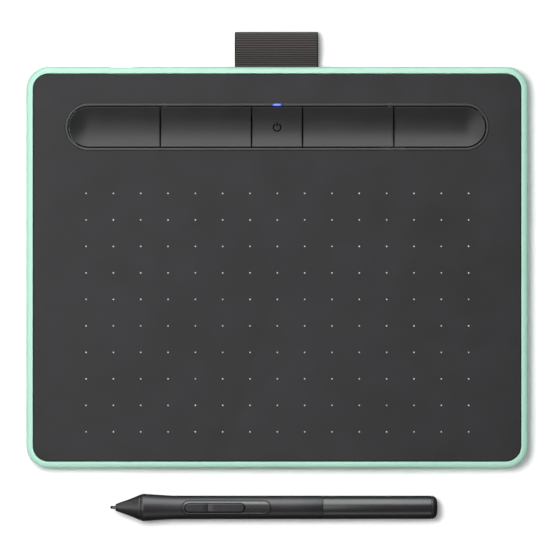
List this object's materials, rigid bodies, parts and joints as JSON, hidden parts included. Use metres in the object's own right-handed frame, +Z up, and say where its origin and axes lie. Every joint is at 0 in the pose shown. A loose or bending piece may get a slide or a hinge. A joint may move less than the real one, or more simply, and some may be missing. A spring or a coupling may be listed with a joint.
{
  "type": "pen drawing tablet",
  "caption": "Slim drawing tablet with a rounded pastel case, a dotted drawing surface, dished shortcut keys either side of a lit power key, a textile pen loop, and its cordless pen.",
  "frame": {"origin": "on the desk, under the middle of the whole set: the tablet with its loop and the pen lying in front of it", "axes": "+X to the tablet's right, +Y to its rear edge, where the loop and the socket are, +Z up"},
  "size_m": [0.2, 0.1952, 0.0109],
  "materials": {
    "mint": "satin moulded pastel mint",
    "cover_black": "fine matte texture",
    "key_black": "fine satin texture",
    "bezel_black": "semi-gloss",
    "inner_black": "plain moulding",
    "ribbon": "ribbed woven ribbon",
    "foot_rubber": "matte rubber",
    "board_green": "lacquered circuit board",
    "chip_black": "moulded epoxy",
    "flex_amber": "polyimide film",
    "foil": "laminated foil",
    "steel": "plated steel",
    "copper": "enamelled copper wire",
    "ferrite": "fired ferrite",
    "led_blue": "lit blue light pipe",
    "nib_grey": "acetal",
    "connector_ivory": "connector moulding",
    "pen_black": "matte",
    "pen_gloss": "semi-gloss",
    "wire_red": "insulated lead"
  },
  "bodies": {
    "tablet": {"battery": "foil", "battery_lead": "wire_red", "battery_pad": "foot_rubber", "battery_plug": "connector_ivory", "bottom_case": "mint", "case_screw_1": "steel", "case_screw_2": "steel", "case_screw_3": "steel", "case_screw_4": "steel", "controller_chip": "chip_black", "key_frame": "bezel_black", "key_switch_1": "chip_black", "key_switch_2": "chip_black", "key_switch_3": "chip_black", "key_switch_4": "chip_black", "key_switch_5": "chip_black", "loop_anchor": "inner_black", "main_board": "board_green", "radio_module": "foil", "rubber_foot_1": "foot_rubber", "rubber_foot_2": "foot_rubber", "rubber_foot_3": "foot_rubber", "rubber_foot_4": "foot_rubber", "sensor_board": "board_green", "sensor_connector": "connector_ivory", "sensor_flex": "flex_amber", "shield_plate": "steel", "status_led": "led_blue", "status_light_pipe": "led_blue", "top_cover": "cover_black", "usb_socket": "steel", "usb_tongue": "chip_black", "pen_loop": "ribbon"},
    "express_key_1": {"express_key_1": "key_black"},
    "express_key_2": {"express_key_2": "key_black"},
    "power_key": {"power_key": "key_black"},
    "express_key_3": {"express_key_3": "key_black"},
    "express_key_4": {"express_key_4": "key_black"},
    "pen": {"pen_nose_cone": "pen_black", "pen_grip_barrel": "pen_black", "pen_switch_bezel": "pen_gloss", "pen_ferrite_core": "ferrite", "pen_coil": "copper", "pen_chassis": "inner_black", "pen_pressure_sensor": "chip_black", "pen_circuit_board": "board_green", "pen_front_tact_switch": "chip_black", "pen_rear_tact_switch": "chip_black", "nib_holder": "inner_black", "spare_nib_1": "nib_grey", "spare_nib_2": "nib_grey", "spare_nib_3": "nib_grey"},
    "pen_nib": {"pen_nib": "nib_grey"},
    "pen_side_switch": {"pen_side_switch": "pen_black"},
    "pen_rear_barrel": {"pen_rear_barrel": "pen_gloss", "pen_end_cap": "pen_black"}
  },
  "joints": [
    {"name": "express_key_1_press", "type": "slide", "parent": "tablet", "child": "express_key_1", "axis": [0, 0, -1], "range_m": [0, 0.0003], "stiffness_N_per_m": 400, "springref_m": -0.0015},
    {"name": "express_key_2_press", "type": "slide", "parent": "tablet", "child": "express_key_2", "axis": [0, 0, -1], "range_m": [0, 0.0003], "stiffness_N_per_m": 400, "springref_m": -0.0015},
    {"name": "power_key_press", "type": "slide", "parent": "tablet", "child": "power_key", "axis": [0, 0, -1], "range_m": [0, 0.0003], "stiffness_N_per_m": 400, "springref_m": -0.0015},
    {"name": "express_key_3_press", "type": "slide", "parent": "tablet", "child": "express_key_3", "axis": [0, 0, -1], "range_m": [0, 0.0003], "stiffness_N_per_m": 400, "springref_m": -0.0015},
    {"name": "express_key_4_press", "type": "slide", "parent": "tablet", "child": "express_key_4", "axis": [0, 0, -1], "range_m": [0, 0.0003], "stiffness_N_per_m": 400, "springref_m": -0.0015},
    {"name": "pen_lift", "type": "slide", "parent": "tablet", "child": "pen", "axis": [0, 0, 1], "range_m": [0, 0.1]},
    {"name": "nib_press", "type": "slide", "parent": "pen", "child": "pen_nib", "axis": [1, 0, -0.0077], "range_m": [0, 0.0003], "stiffness_N_per_m": 1500, "springref_m": -0.0003},
    {"name": "side_switch_rock", "type": "hinge", "parent": "pen", "child": "pen_side_switch", "pos_m": [-0.02747, -0.09215, 0.00867], "axis": [0, 1, 0], "range_deg": [-1.5, 1.5], "stiffness_Nm_per_rad": 0.3},
    {"name": "rear_barrel_pull", "type": "slide", "parent": "pen", "child": "pen_rear_barrel", "axis": [1, 0, -0.0077], "range_m": [0, 0.06]}
  ]
}
